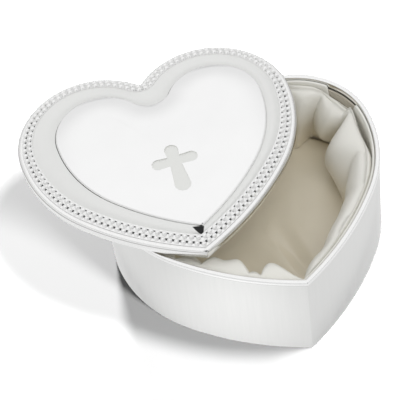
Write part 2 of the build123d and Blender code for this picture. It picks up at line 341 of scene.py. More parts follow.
def heart(width, lobe_r, lobe_y, hip_r, hip_degrees, drop, notch_r, point_r, aside=0):
    """A heart of a half width, its point a drop below the middles of its lobes, its axis aside of X = 0."""
    hip = radians(hip_degrees)
    lobe_x = width - lobe_r
    hip_x = lobe_x - (hip_r - lobe_r)
    chord = (hip_x + hip_r * cos(hip), drop - hip_r * sin(hip))
    flank_r = (chord[0] ** 2 + chord[1] ** 2) / (2 * (cos(hip) * chord[0] - sin(hip) * chord[1]))
    return Heart(lobe_x, lobe_y, lobe_r, hip_r, hip, flank_r, notch_r, point_r, aside)


half_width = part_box("box_wall")[1].x
lobe_radius = 23.3 * mm
hip_radius = 41.0 * mm
hip_degrees = 42.0
notch_radius = 1.2 * mm
point_radius = 0.35 * mm
point_drop = 49.3 * mm
lobe_y = (point_drop - lobe_radius) / 2
wall_heart = heart(half_width, lobe_radius, lobe_y, hip_radius, hip_degrees, point_drop, notch_radius,
                   point_radius)
print("box is", round(2 * half_width, 4), "m wide;", len(wall_heart.ring(0)), "points round it")

# %% [markdown]
# A band, a rim or a moulding is one section carried round the heart. In Blender that is a ring of edges,
# extruded again and again: each new ring is moved to a parallel heart at its own height. The last ring closes
# onto the first, and sharp bends keep their edge while the rest is shaded smooth.

# %% Rings carried round the heart
sharp_bend = radians(38)
same_point = 0.002 * mm

# Finish numbers of faces: places in their piece's list of materials
main, grey, matt, dark = range(4)


def first_ring(bm, points):
    """A closed ring of edges through points."""
    ring = [bm.verts.new(point) for point in points]
    for a, b in zip(ring, ring[1:] + ring[:1]):
        bm.edges.new((a, b))
    return ring


def next_ring(bm, ring, points, finish=main):
    """Extrudes a ring and moves the new one to points. The faces between take a finish by its number."""
    edges = [bm.edges.get((a, b)) for a, b in zip(ring, ring[1:] + ring[:1])]
    made = bmesh.ops.extrude_edge_only(bm, edges=edges)["geom"]
    fresh = {part for part in made if isinstance(part, bmesh.types.BMVert)}
    for face in (part for part in made if isinstance(part, bmesh.types.BMFace)):
        face.material_index = finish
    followers = []
    for vert, point in zip(ring, points):
        follower = next(e.other_vert(vert) for e in vert.link_edges if e.other_vert(vert) in fresh)
        follower.co = point
        followers.append(follower)
    return followers


def piece(name, bm, body, materials, place=Matrix(), sharp=sharp_bend):
    """Makes a bmesh an object on a body, with smooth faces, sharp bends and its materials."""
    bmesh.ops.remove_doubles(bm, verts=bm.verts, dist=same_point)
    bmesh.ops.recalc_face_normals(bm, faces=bm.faces)
    bmesh.ops.transform(bm, matrix=place, verts=bm.verts)
    mesh = bpy.data.meshes.new(name)
    bm.to_mesh(mesh)
    bm.free()
    mesh.shade_smooth()
    mesh.set_sharp_from_angle(angle=sharp)
    for material in materials:
        mesh.materials.append(material)
    made = linked(name, mesh)
    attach(made, body)
    print(name, len(mesh.polygons), "faces")
    return made


def capped(bm, ring):
    """Closes a ring with one face."""
    edges = [bm.edges.get((a, b)) for a, b in zip(ring, ring[1:] + ring[:1])]
    bmesh.ops.contextual_create(bm, geom=edges)


def shrunk(bm, ring, centre, steps, height):
    """Fills a ring with smaller rings towards a centre. height(share, point) gives each point's height."""
    edge = [vert.co.copy() for vert in ring]
    for step in range(1, steps):
        share = step / steps
        points = [p.lerp(Vector((centre.x, centre.y, p.z)), share) for p in edge]
        ring = next_ring(bm, ring, [Vector((p.x, p.y, height(share, p))) for p in points])
    capped(bm, ring)


def raised(sections):
    """A bmesh of sections (heart, height, finish) carried round, with its first and its last ring."""
    bm = bmesh.new()
    outline, height, _ = sections[0]
    start = ring = first_ring(bm, outline.ring(height))
    for outline, height, finish in sections[1:]:
        ring = next_ring(bm, ring, outline.ring(height), finish)
    return bm, start, ring


def carried(sections):
    """A bmesh of sections carried round and closed into a tube."""
    bm, start, ring = raised(sections)
    next_ring(bm, ring, [vert.co.copy() for vert in start])
    return bm


print("rings ready")

# %% [markdown]
# Silver plate is a metal all over, so the metallic value is 1 and the base colour is nearly white. What tells
# one part from another is how it was finished. The wall was brushed up and down, which blurs what it mirrors
# and leaves faint streaks. The lid's plate was buffed, so it mirrors clearly, with a slight cloudiness. Beads
# and cove have gone milky with handling, so their metallic value is lower. Grooves, gaps and corners get
# painted shade: a near-black silver and a grey one. The engraving is frosted by the tool.

# %% Silver
def metal(name, colour, shade, roughness, blur, grain, relief, metallic=1.0):
    """A silver whose colour and roughness wander between two values along a stretched grain."""
    material = bpy.data.materials.new(name + "_silver")
    material.use_nodes = True
    tree = material.node_tree
    links = tree.links
    skin = tree.nodes["Principled BSDF"]
    skin.inputs["Metallic"].default_value = metallic
    place = add(tree, "ShaderNodeTexCoord")
    stretch = add(tree, "ShaderNodeMapping")
    stretch.inputs["Scale"].default_value = grain
    cloud = add(tree, "ShaderNodeTexNoise", Scale=1.0, Detail=4.0, Roughness=0.55)
    polish = add(tree, "ShaderNodeMapRange")
    polish.inputs["To Min"].default_value = roughness
    polish.inputs["To Max"].default_value = roughness + blur
    bump = add(tree, "ShaderNodeBump", Strength=relief, Distance=0.05 * mm)
    links.new(place.outputs["Object"], stretch.inputs["Vector"])
    links.new(stretch.outputs["Vector"], cloud.inputs["Vector"])
    links.new(cloud.outputs["Fac"], polish.inputs["Value"])
    links.new(cloud.outputs["Fac"], bump.inputs["Height"])
    links.new(tinted(tree, cloud.outputs["Fac"], shade, colour), skin.inputs["Base Color"])
    links.new(polish.outputs["Result"], skin.inputs["Roughness"])
    links.new(bump.outputs["Normal"], skin.inputs["Normal"])
    return material


brushed = metal("brushed", (0.835, 0.835, 0.825), (0.75, 0.755, 0.745), 0.24, 0.16, (900, 900, 60), 0.12)
buffed = metal("buffed", (0.97, 0.97, 0.97), (0.93, 0.93, 0.93), 0.06, 0.07, (120, 120, 120), 0.02)
edging = metal("edging", (0.96, 0.96, 0.955), (0.9, 0.9, 0.895), 0.12, 0.1, (300, 300, 300), 0.05)
pearled = metal("pearled", (0.97, 0.97, 0.965), (0.93, 0.93, 0.925), 0.26, 0.08, (300, 300, 300), 0.02, 0.85)
matted = metal("matted", (0.87, 0.873, 0.86), (0.83, 0.833, 0.82), 0.4, 0.1, (200, 200, 200), 0.05, 0.4)
# Painted shade: a near-black silver for the plate's seat and the specks between beads, a grey one for thin
# grooves
painted_shade = metal("painted_shade", (0.10, 0.10, 0.10), (0.03, 0.03, 0.03), 0.35, 0.2, (900, 900, 900), 0.1)
grey_shade = metal("grey_shade", (0.55, 0.55, 0.54), (0.42, 0.42, 0.41), 0.25, 0.2, (900, 900, 900), 0.1)
frosted = metal("frosted", (0.90, 0.905, 0.885), (0.82, 0.825, 0.805), 0.5, 0.2, (4000, 4000, 4000), 0.4)
print("materials:", [material.name for material in bpy.data.materials])

# %% [markdown]
# The box's wall is a band of sheet metal, with a rounded wire soldered along its top edge. The two replace
# the plain nodes, because a shiny surface shows every facet: here the rings are close enough to look round.
# Where the wire meets the wall, a hair-thin groove is painted grey: painted shade in the groove.

# %% Wall and rim
rim_low, rim_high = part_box("rim_wire")
wall_thickness = 0.9 * mm
foot_round = 0.25 * mm
wall_top = rim_low.z
rim_proud = rim_high.x - half_width
rim_width = 1.5 * mm
rim_round = 0.62 * mm
inside_wall = wall_heart.grown(-wall_thickness)

wall = piece("wall", carried([
    (wall_heart.grown(-foot_round), 0, main),
    (wall_heart.grown(-foot_round * 0.3), foot_round * 0.3, main),
    (wall_heart, foot_round, main),
    (wall_heart, wall_top, main),
    (inside_wall, wall_top, main),
    (inside_wall, 0, main),
]), "box", [brushed])
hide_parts("box_wall")


def quarter_turn(outline, inwards, radius, top, steps=6):
    """Sections up a quarter turn to a top, on a wire's outer side (inwards is 1) or its inner one (-1)."""
    sections = []
    for step in range(steps + 1):
        angle = step / steps * pi / 2
        aside = outline.grown(-radius * (1 - cos(angle)) * inwards)
        sections.append((aside, top - radius * (1 - sin(angle)), main))
    return sections


rim_outside = wall_heart.grown(rim_proud)
rim_inside = rim_outside.grown(-rim_width)
over = quarter_turn(rim_outside, 1, rim_round, rim_high.z)
back = quarter_turn(rim_inside, -1, rim_round, rim_high.z)[::-1]
under = 0.18 * mm
# The grey rings at the wire's foot are painted shade in the groove
rim = piece("rim", carried([
    (rim_outside.grown(-under), wall_top, grey),
    (rim_outside.grown(-under), wall_top + under, grey),
    (rim_outside, wall_top + under * 2, main),
] + over + back + [(rim_inside, wall_top, main)]), "box", [edging, grey_shade])
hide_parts("rim_wire")

# %% [markdown]
# The lid is one casting with a stepped edge: an upright lip, a bright half-round moulding, a sloping band for
# the beads, and a hollow cove that runs up to the heart plate. First come two outlines: its own, just larger
# than the box's, and the plate's, a rounder heart that sits a little aside of the lid's axis.

# %% Outlines of the lid and its plate
lid_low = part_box("lid_frame")[0]
lid_turn = radians(-4.4)
lid_place = Matrix.Translation((-18.5 * mm, 19.1 * mm, lid_low.z)) @ Matrix.Rotation(lid_turn, 4, "Z")
lid_overhang = 0.3 * mm
lid_heart = wall_heart.grown(lid_overhang)
lid_half_width = half_width + lid_overhang

# Shares of the lid's half width: the plate's own half width, and its lobe, hip and notch radius
plate_shares = (0.757, 0.345, 0.92, 0.16)
plate_size, plate_lobe, plate_hip, plate_notch = [lid_half_width * share for share in plate_shares]
plate_lobe_y = lobe_y + 0.6 * mm
plate_drop = point_drop - 7.2 * mm
plate_point = 1.3 * mm
plate_aside = 1.4 * mm
plate_heart = heart(plate_size, plate_lobe, plate_lobe_y, plate_hip, hip_degrees, plate_drop, plate_notch,
                    plate_point, plate_aside)
print("lid", round(2 * lid_half_width, 4), "m wide, plate", round(2 * plate_size, 4))

# %% [markdown]
# The frame is drawn as a list of insets from the lid's outline and heights above its bottom edge, and then
# laid where the lid lies, askew on the box. Each section also names the finish of the metal that leads up to
# it. The rings at the foot and the top of the moulding are painted grey, as shade in the grooves. The seat of
# the plate is painted black at the top and on the left, a painted reflection of something dark in its bend;
# near the point and on the right it is left bright.

# %% Lid frame
ceiling = 2.0 * mm
skirt = 1.4 * mm
lip_height = 2.0 * mm
lip_bevel = 0.06 * mm
moulding_inset = 0.3 * mm
moulding_inner = 1.4 * mm
band_low = 2.85 * mm
band_slope = 0.4
band_width = 3.3 * mm
band_inner = moulding_inner + band_width
band_top = band_low + band_width * band_slope
cove_depth = 0.9 * mm
plate_foot = 3.75 * mm
plate_ledge = 1.3 * mm
seat_floor = 2.6 * mm
dark_behind = 6 * mm
dark_left_from = -8 * mm
band_edge = lid_heart.grown(-band_inner)


def inset(distance, height, finish=main):
    """One section of the lid, at an inset from its outline."""
    return (lid_heart.grown(-distance), height, finish)


def on_band(distance, lift=0, finish=matt):
    """One section at an inset on the sloping bead band, or lifted off it."""
    return inset(distance, band_low + (distance - moulding_inner) * band_slope + lift, finish)


moulding = []
moulding_steps = 8
moulding_turn = pi * 0.55
moulding_reach = (moulding_inner - moulding_inset) / (1 - cos(moulding_turn))
for step in range(moulding_steps + 1):
    angle = moulding_turn * (0.06 + 0.94 * step / moulding_steps)
    moulding.append(inset(moulding_inset + moulding_reach * (1 - cos(angle)),
                          lip_height + 0.12 * mm + (band_low - lip_height - 0.1 * mm) * sin(angle)))

cove = []
cove_steps = 12
for step in range(cove_steps + 1):
    share = step / cove_steps
    height = band_top + (plate_foot - band_top) * share - cove_depth * sin(pi * share) * 0.75
    cove.append((band_edge.mixed(plate_heart, share), height, matt))

# The grey rings are painted shade in the grooves; the black sections round the plate's seat are a painted
# reflection
lid_frame = piece("lid_border", carried([
    inset(6 * mm, ceiling),
    inset(skirt, ceiling),
    inset(skirt, 0),
    inset(0.2 * mm, 0),
    inset(lip_bevel, lip_bevel),
    inset(0, 0.2 * mm),
    inset(0, lip_height - 0.15 * mm),
    inset(lip_bevel, lip_height),
    inset(moulding_inset * 0.8, lip_height + 0.02 * mm, grey),
] + moulding + [
    inset(moulding_inner + 0.1 * mm, band_low - 0.03 * mm, grey),
    on_band(moulding_inner + 0.2 * mm),
    on_band(band_inner - 0.15 * mm),
] + cove + [
    (plate_heart, seat_floor, dark),
    (plate_heart.grown(-plate_ledge), seat_floor, dark),
    (plate_heart.grown(-plate_ledge), ceiling, dark),
]), "lid", [edging, grey_shade, matted, painted_shade], lid_place)
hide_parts("lid_frame")

# Painted reflection: the seat keeps its black finish only at the back and on the left
to_lid = lid_place.inverted()
for face in lid_frame.data.polygons:
    middle = to_lid @ face.center
    dark_side = middle.y > dark_behind or (middle.x < 0 and middle.y > dark_left_from)
    if face.material_index == dark and not dark_side:
        face.material_index = matt

# %% [markdown]
# Beside the plate's point, and on the lip below it, small black corners are painted: painted reflections of
# something dark in the steep bends there. Each is a triangle seen from above. The shader measures how far a
# point lies in front of each of its edges, and where the largest of the three is small, the point is inside.

# %% Black corners: painted reflections
cove_reflection = [Vector((-21.9, -8.2, 0)) * mm, Vector((-20.5, -12.6, 0)) * mm, Vector((-18.9, -9.4, 0)) * mm]
lip_reflection = [Vector((-22.0, -16.5, 0)) * mm, Vector((-21.4, -17.0, 0)) * mm, Vector((-20.7, -16.9, 0)) * mm]
mark_blur = 0.1 * mm
reflection_colour = (0.01, 0.01, 0.01)


def painted_reflection(finish, corners, blur):
    """Paints a black reflection into a finish inside a triangle, given by its corners as seen from above."""
    tree = finish.node_tree
    skin = tree.nodes["Principled BSDF"]
    clean = skin.inputs["Base Color"].links[0].from_socket
    place = add(tree, "ShaderNodeTexCoord")
    in_front = []
    for start, end in zip(corners, corners[1:] + corners[:1]):
        outwards = Vector((end.y - start.y, start.x - end.x, 0)).normalized()
        reach = measured(tree, "DOT_PRODUCT", place.outputs["Object"], outwards)
        edge = outwards.dot(start)
        in_front.append(ramp(tree, reach, edge - blur, edge + blur))
    outside = combined(tree, "MAXIMUM", combined(tree, "MAXIMUM", in_front[0], in_front[1]), in_front[2])
    tree.links.new(tinted(tree, outside, reflection_colour, clean), skin.inputs["Base Color"])


# Painted reflections: black triangles in the cove beside the plate's point and on the lip below it
painted_reflection(matted, cove_reflection, mark_blur)
lid_edging = edging.copy()
painted_reflection(lid_edging, lip_reflection, mark_blur)
lid_frame.data.materials[main] = lid_edging
print("black corners on", matted.name, "and", lid_edging.name)

# %% [markdown]
# The border of the lid carries two rows of beaded wire: small round beads on a flat strip, just apart. The
# strip between them is painted with dark specks: painted shade in the gaps. Towards the far side the painted
# specks turn grey and then end. Each bead is a coarse sphere, because there are more than two hundred of them
# and smooth shading rounds them off. They are set out by even steps along the row.

# %% Beaded wire
bead_radius = 0.8 * mm
bead_pitch = 1.93 * mm
strip_thickness = 0.25 * mm
row_width = band_width / 2 - 0.08 * mm
strip_foot = 0.01 * mm
speck_fade_way = Vector((0.26, 0.966, 0))
specks_grey_from = 34 * mm
specks_gone_from = 39 * mm

# Finish numbers on the strips
pearly, speckled, grey_speck = range(3)


def even_steps(points, pitch):
    """Places and directions at even steps round a closed ring of points, about a pitch apart."""
    ends = points[1:] + points[:1]
    lengths = [(b - a).length for a, b in zip(points, ends)]
    count = round(sum(lengths) / pitch)
    pitch = sum(lengths) / count
    spots, walked, wanted = [], 0, pitch / 2
    for a, b, length in zip(points, ends, lengths):
        while wanted < walked + length:
            spots.append((a.lerp(b, (wanted - walked) / length), (b - a).normalized()))
            wanted += pitch
        walked += length
    return spots


def bead_row(name, node, outer, speck_start, speck_end):
    """A row of beads on a strip, with painted shade in a line between two steps inwards from the beads'
    middles.
    """
    inner = outer + row_width
    middle = outer + row_width / 2
    bm = carried([
        on_band(outer, strip_foot, pearly),
        on_band(outer, strip_thickness, pearly),
        on_band(middle + speck_start, strip_thickness, pearly),
        on_band(middle + speck_end, strip_thickness, speckled),
        on_band(inner, strip_thickness, pearly),
        on_band(inner, strip_foot, pearly),
    ])
    line, height, _ = on_band(middle, strip_thickness)
    spots = even_steps(line.ring(height), bead_pitch)
    for place, along in spots:
        upright = Vector((-along.y * band_slope, along.x * band_slope, 1)).normalized()
        turn = upright.to_track_quat("Z", "Y").to_matrix().to_4x4()
        bmesh.ops.create_uvsphere(bm, u_segments=10, v_segments=6, radius=bead_radius,
                                  matrix=Matrix.Translation(place) @ turn)
    row = piece(name, bm, "lid", [pearled, painted_shade, grey_shade], lid_place)
    # Painted shade: the specks turn grey and then end towards the far side
    for face in row.data.polygons:
        away = face.center.dot(speck_fade_way)
        if face.material_index == speckled and away > specks_grey_from:
            face.material_index = pearly if away > specks_gone_from else grey_speck
    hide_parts(node)
    print(name, len(spots), "beads")


bead_row("beads_outer", "outer_bead_row", moulding_inner + 0.05 * mm, -0.08 * mm, 0.5 * mm)
bead_row("beads_inner", "inner_bead_row", moulding_inner + band_width / 2, 0.05 * mm, 0.38 * mm)

# %% [markdown]
# The heart plate is pressed sheet: a steep short side, a tight bend and then a low dome that hardly rises. It
# was soldered a hair aside, so that the groove round it isn't even. Its rings run parallel to the edge as far
# as the shoulder, and then shrink towards the middle, where they are nearly level and a few rings are enough.
# The cross is cut afterwards.

# %% Heart plate
plate_gap = 0.1 * mm
plate_slip = Vector((0.05, -0.05, 0)) * mm
bend_radius = 0.85 * mm
bend_turn = radians(78)
bend_steps = 6
plate_bend = 4.65 * mm
dome_rise = 1.7 * mm
dome_shoulder = 9.0 * mm
shoulder_steps = 14
shoulder_rise = 0.92
plate_centre = Vector((plate_aside, -3.0 * mm, 0))
plate_edge = plate_heart.grown(-plate_gap)

dome = [(plate_edge, plate_foot - 0.6 * mm, main), (plate_edge, plate_bend - bend_radius, main)]
for step in range(1, bend_steps + 1):
    angle = step / bend_steps * bend_turn
    bend_inset = bend_radius * (1 - cos(angle))
    bend_top = plate_bend - bend_radius * (1 - sin(angle))
    dome.append((plate_edge.grown(-bend_inset), bend_top, main))
for step in range(1, shoulder_steps + 1):
    share = step / shoulder_steps
    rise = dome_rise * (1 - (1 - share) ** 2.2) * shoulder_rise
    dome.append((plate_edge.grown(-bend_inset - (dome_shoulder - bend_inset) * share), bend_top + rise, main))
bm, edge, crown = raised(dome)
capped(bm, edge)


def crown_height(share, point):
    """The last little rise of the dome, from its shoulder to its middle."""
    return bend_top + dome_rise * (shoulder_rise + (1 - shoulder_rise) * (1 - (1 - share) ** 2))


shrunk(bm, crown, plate_centre, 10, crown_height)
bmesh.ops.translate(bm, vec=plate_slip, verts=bm.verts)
plate = piece("heart_dome", bm, "lid", [buffed, frosted], lid_place)
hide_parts("heart_plate")

# %% [markdown]
# The cross is engraved: four arms that swell towards rounded ends, the foot longer than the rest. Each arm is
# bounded by two lines that touch the round neck in the middle and the round end. The outline is extruded to a
# cutter and taken out of the plate, and the floor of the cut keeps the frosted look that the tool leaves.

# %% Engraved cross
cross_place = Vector((0.65 * mm, -5.4 * mm))
cross_lean = radians(-1.7)
cross_neck = 1.55 * mm
engraving_floor = bend_top + dome_rise * shoulder_rise - 0.12 * mm
cutter_height = 4 * mm

# Heading of each arm in degrees, its reach, and the radius of its end
cross_arms = [(0, 6.7 * mm, 1.85 * mm), (90, 5.9 * mm, 2.0 * mm), (180, 6.7 * mm, 1.85 * mm),
              (270, 11.2 * mm, 2.35 * mm)]


def arm_sides(degrees, reach, radius):
    """The middle of an arm's round end, and the directions square to its right and left side."""
    along = Vector((cos(radians(degrees)), sin(radians(degrees))))
    across = Vector((-along.y, along.x))
    length = reach - radius
    spread = (cross_neck - radius) / length
    upright = sqrt(1 - spread ** 2)
    return along * length, along * spread - across * upright, along * spread + across * upright


def crossing(one, other):
    """Where two lines meet that both touch the neck."""
    turn = one.x * other.y - one.y * other.x
    return Vector((cross_neck * (other.y - one.y), cross_neck * (one.x - other.x))) / turn


outline = []
end_steps = 14
sides = [arm_sides(*arm) for arm in cross_arms]
next_sides = sides[1:] + sides[:1]
for (_, _, radius), (end, right, left), (_, next_right, _) in zip(cross_arms, sides, next_sides):
    start, finish = atan2(right.y, right.x), atan2(left.y, left.x)
    sweep = (finish - start) % (2 * pi)
    for step in range(end_steps + 1):
        angle = start + sweep * step / end_steps
        outline.append(end + Vector((cos(angle), sin(angle))) * radius)
    outline.append(crossing(left, next_right))
bm = bmesh.new()
turn = Matrix.Rotation(cross_lean, 2)
capped(bm, first_ring(bm, [(*(cross_place + turn @ point), engraving_floor) for point in outline]))
lifted = bmesh.ops.extrude_face_region(bm, geom=bm.faces[:])["geom"]
lifted_verts = [part for part in lifted if isinstance(part, bmesh.types.BMVert)]
bmesh.ops.translate(bm, vec=(0, 0, cutter_height), verts=lifted_verts)
cutter = piece("cross_cutter", bm, "lid", [frosted], lid_place)
cut = plate.modifiers.new("engraving", "BOOLEAN")
cut.operation = "DIFFERENCE"
cut.solver = "EXACT"
cut.material_mode = "TRANSFER"
cut.object = cutter
bpy.context.view_layer.update()
engraved = bpy.data.meshes.new_from_object(plate.evaluated_get(bpy.context.evaluated_depsgraph_get()))
plate.modifiers.clear()
plate.data = engraved
engraved.set_sharp_from_angle(angle=sharp_bend)
bpy.data.objects.remove(cutter)
print("plate with its cross:", len(engraved.polygons), "faces,", [m.name for m in engraved.materials])

# %% [markdown]
# The lining is champagne satin. Its threads run one way, which gives a soft shine and a very fine weave, and
# it is painted a warmer colour deep down: painted bounced light, where folds throw light on each other. Sheen
# stands for the lit fibres.

# %% Satin
warm_depth = (9 * mm, 27 * mm)


def cloth(name, colour, shade, roughness, sheen, weave, crumple, shine=0.5, warm=None):
    """A cloth whose colour drifts between two values, with a weave and crumples, and painted warmer deep down
    for bounced light.
    """
    material = bpy.data.materials.new(name)
    material.use_nodes = True
    tree = material.node_tree
    links = tree.links
    skin = tree.nodes["Principled BSDF"]
    plain_values = (("Roughness", roughness), ("Specular IOR Level", shine), ("Sheen Weight", sheen),
                    ("Sheen Roughness", 0.35))
    for socket, value in plain_values:
        skin.inputs[socket].default_value = value
    place = add(tree, "ShaderNodeTexCoord")
    drift = add(tree, "ShaderNodeTexNoise", Scale=70.0, Detail=3.0)
    threads = add(tree, "ShaderNodeTexWave", wave_type="BANDS", bands_direction="DIAGONAL", Scale=weave,
                  Distortion=0.8, Detail=1.0)
    soft = add(tree, "ShaderNodeTexNoise", Scale=260.0, Detail=3.0)
    fine = add(tree, "ShaderNodeBump", Strength=0.06, Distance=0.03 * mm)
    wide = add(tree, "ShaderNodeBump", Strength=crumple, Distance=0.35 * mm)
    for texture in (drift, threads, soft):
        links.new(place.outputs["Object"], texture.inputs["Vector"])
    tint = tinted(tree, drift.outputs["Fac"], shade, colour)
    if warm:
        # Painted bounced light: a warmer colour low in the box
        height = add(tree, "ShaderNodeSeparateXYZ")
        links.new(place.outputs["Object"], height.inputs[0])
        tint = tinted(tree, ramp(tree, height.outputs["Z"], *warm_depth), warm, tint)
    links.new(threads.outputs["Fac"], fine.inputs["Height"])
    links.new(soft.outputs["Fac"], wide.inputs["Height"])
    links.new(fine.outputs["Normal"], wide.inputs["Normal"])
    links.new(tint, skin.inputs["Base Color"])
    links.new(wide.outputs["Normal"], skin.inputs["Normal"])
    return material


satin = cloth("satin", (0.88, 0.87, 0.82), (0.85, 0.84, 0.78), 0.36, 0.08, 900.0, 0.18,
              shine=1.0, warm=(0.83, 0.765, 0.62))
print("satin ready")

# %% [markdown]
# The wall lining is one strip of satin gathered over wadding, tacked at the foot and under the rim, so it
# stands in uneven puffs with folds between them. Each puff has its own depth at half height and at the top,
# and each fold is as deep as the cloth was pulled there: deep at the back, hardly there along the right-hand
# side. Some puffs sag, so that their feet rest on the floor pad, and there the folds between them lean.

# %% Puffs and folds
# Where each puff ends on the way round, its depth at half height and at the top, how deep the fold after it
# leaves the cloth, in millimetres, and how far its crown is pushed towards that fold
puffs = [
    (0.055, 7.6, 3.4, 4.4, 1), (0.105, 8.2, 3.4, 4.4, 1), (0.158, 8.8, 3.4, 4.6, 1),
    (0.206, 9.2, 3.6, 4.6, 1), (0.279, 14.6, 4.3, 8.6, 1), (0.346, 9.8, 3.8, 8.8, 1),
    (0.420, 9.2, 3.2, 8.6, 1), (0.500, 7.8, 3.0, 4.4, 1), (0.549, 10.4, 8.4, 5.6, 1.7),
    (0.563, 7.2, 4.8, 6.0, 1), (0.592, 10.0, 8.4, 9.2, 1), (0.625, 9.4, 7.4, 6.0, 1),
    (0.665, 8.6, 5.4, 4.4, 1), (0.722, 9.4, 5.6, 4.4, 1), (0.786, 9.8, 5.6, 4.4, 1),
    (0.842, 8.8, 5.2, 4.4, 1), (0.896, 8.2, 4.4, 4.4, 1), (0.948, 8.2, 4.0, 4.4, 1),
    (1.000, 7.6, 3.4, 4.4, 1),
]
middle_share = 0.48
fold_foot = 0.6
fold_pinch = 1.8

# Values along the way round, as knots (share of the way, value): depth of the puffs' feet, how far the folds
# lean, height of the puffs' tops, height of the hem, and how far the puffs stand off the wall
puff_feet = [(0, 5.0), (0.09, 9.0), (0.118, 9.0), (0.146, 4.2), (0.2, 4.2), (0.225, 11.5), (0.30, 11.0),
             (0.34, 8.5), (0.44, 7.5), (0.5, 4.2), (0.95, 4.2), (1, 5.0)]
leans = [(0, 0), (0.1, 0), (0.14, 0.02), (0.19, 0.017), (0.235, 0), (0.30, -0.033), (0.36, 0), (1, 0)]
puff_tops = [(0, 29.2), (0.14, 29.2), (0.178, 26.8), (0.198, 25.9), (0.207, 28.4), (0.30, 28.6), (0.36, 30.2),
             (0.48, 29.9), (0.508, 28.5), (0.64, 28.4), (0.7, 27.2), (0.9, 28.0), (1, 29.2)]
hem_tops = [(0, 31.0), (0.162, 31.0), (0.168, 26.2), (0.205, 26.2), (0.214, 31.0), (1, 31.0)]
stand_offs = [(0, 0), (0.2, 0.1), (0.25, 2.0), (0.30, 0.1), (1, 0)]


def eased(knots, share):
    """The value at a share of the way round, eased between knots."""
    for (start, low), (end, high) in zip(knots, knots[1:]):
        if share <= end:
            part = (share - start) / (end - start)
            return low + (high - low) * part * part * (3 - 2 * part)
    return knots[-1][1]


def between(foot, middle, top, rise):
    """From the foot value by way of the middle one to the top one, as full as a stuffed puff."""
    if rise < middle_share:
        return foot + (middle - foot) * sin(pi / 2 * rise / middle_share)
    return top + (middle - top) * sqrt(max(1 - ((rise - middle_share) / (1 - middle_share)) ** 2, 0))


# Depth of each fold at half height and at the top, where it is pinched and no deeper than the puffs beside it
creases = []
for one, other in zip(puffs, puffs[1:] + puffs[:1]):
    creases.append((one[3], min(one[3] - fold_pinch, one[2], other[2])))


def puff_depth(share, rise):
    """Depth of the satin in millimetres, at a share of the way round and of the way up."""
    foot = eased(puff_feet, share)
    wander = 0.004 * sin(2 * pi * (5 * share + 0.8 * rise)) * sin(pi * share)
    share += wander + eased(leans, share) * (1 - rise)
    number = next((n for n, puff in enumerate(puffs) if share <= puff[0]), len(puffs) - 1)
    start = puffs[number - 1][0] if number else 0
    end, middle, top, _, pushed = puffs[number]
    across = max(min((share - start) / (end - start), 1), 0)
    folds = [between(foot - fold_foot, *crease, rise) for crease in (creases[number - 1], creases[number])]
    fold = folds[0] + (folds[1] - folds[0]) * across
    crown = between(foot, middle, top, rise)
    return fold + max(crown - fold, 0) * sin(pi * across ** pushed) ** 0.72


print(len(puffs), "puffs, the deepest", max(middle for _, middle, _, _, _ in puffs), "mm")

# %% [markdown]
# The lining's points are found by how far round they are and how deep inside the wall: hearts at every half
# millimetre of depth give the places. Noise makes the faces of the puffs softly uneven. A flat hem stands
# behind them, against the metal. At the back right it has slipped down, and the next puff is pulled off the
# wall along a straight edge, with a dark gap behind it.

# %% Rows of points on the lining
foot_height = 8.7
behind = 1.85
fineness = 3
shell_count = 36
shells = [wall_heart.grown(-depth / 2 * mm).ring(0, fineness) for depth in range(shell_count)]
outline = shells[0]
steps = [(b - a).length for a, b in zip(outline, outline[1:] + outline[:1])]
shares = [sum(steps[:index]) / sum(steps) for index in range(len(steps))]


def spot(index, depth, height):
    """The point a depth inside the wall's outline, both in millimetres, at a height."""
    inner = min(max(int(depth * 2), 0), len(shells) - 2)
    point = shells[inner][index].lerp(shells[inner + 1][index], depth * 2 - inner)
    return Vector((point.x, point.y, height * mm))


def face_row(rise):
    """One row of points on the face of the puffs, softly uneven."""
    points = []
    for index, share in enumerate(shares):
        height = foot_height + (eased(puff_tops, share) - foot_height) * rise
        depth = puff_depth(share, rise)
        place = spot(index, depth, height)
        depth += 0.5 * noise.noise(place * 110) + 0.05 * noise.noise(place * 420)
        points.append(spot(index, max(depth, behind + 0.7), height))
    return points


def hem_row(height_at, depth_at):
    """One row behind the puffs, its height and depth worked out from the share of the way round."""
    return [spot(index, depth_at(share), height_at(share)) for index, share in enumerate(shares)]


def off_wall(share):
    """How far the puffs stand off the wall here."""
    return eased(stand_offs, share)


def gap_floor(share):
    """Height of the hem's foot: just under the puffs' tops, or deep down where they stand off the wall."""
    return eased(puff_tops, share) - 0.2 - 4.5 * off_wall(share)


def hem_top(share):
    """Height of the hem's top edge, never under its foot."""
    return max(eased(hem_tops, share), gap_floor(share) + 0.3)


print(len(shares), "points round the lining")

# %% [markdown]
# The strip is a ring of edges again, extruded row by row: up from the tacked foot, over the faces of the
# puffs, round the rolled top, down into the gap behind it, up over the hem, and down the back to the foot. So
# it is one closed piece, which stands for the satin and its wadding.

# %% Wall lining
tacked = 3.9
against_wall = 1.45
card_top = 29.6
roll = 0.9
rows = 34
crowded_up = 1.35
side_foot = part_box("side_satin")[0].z / mm

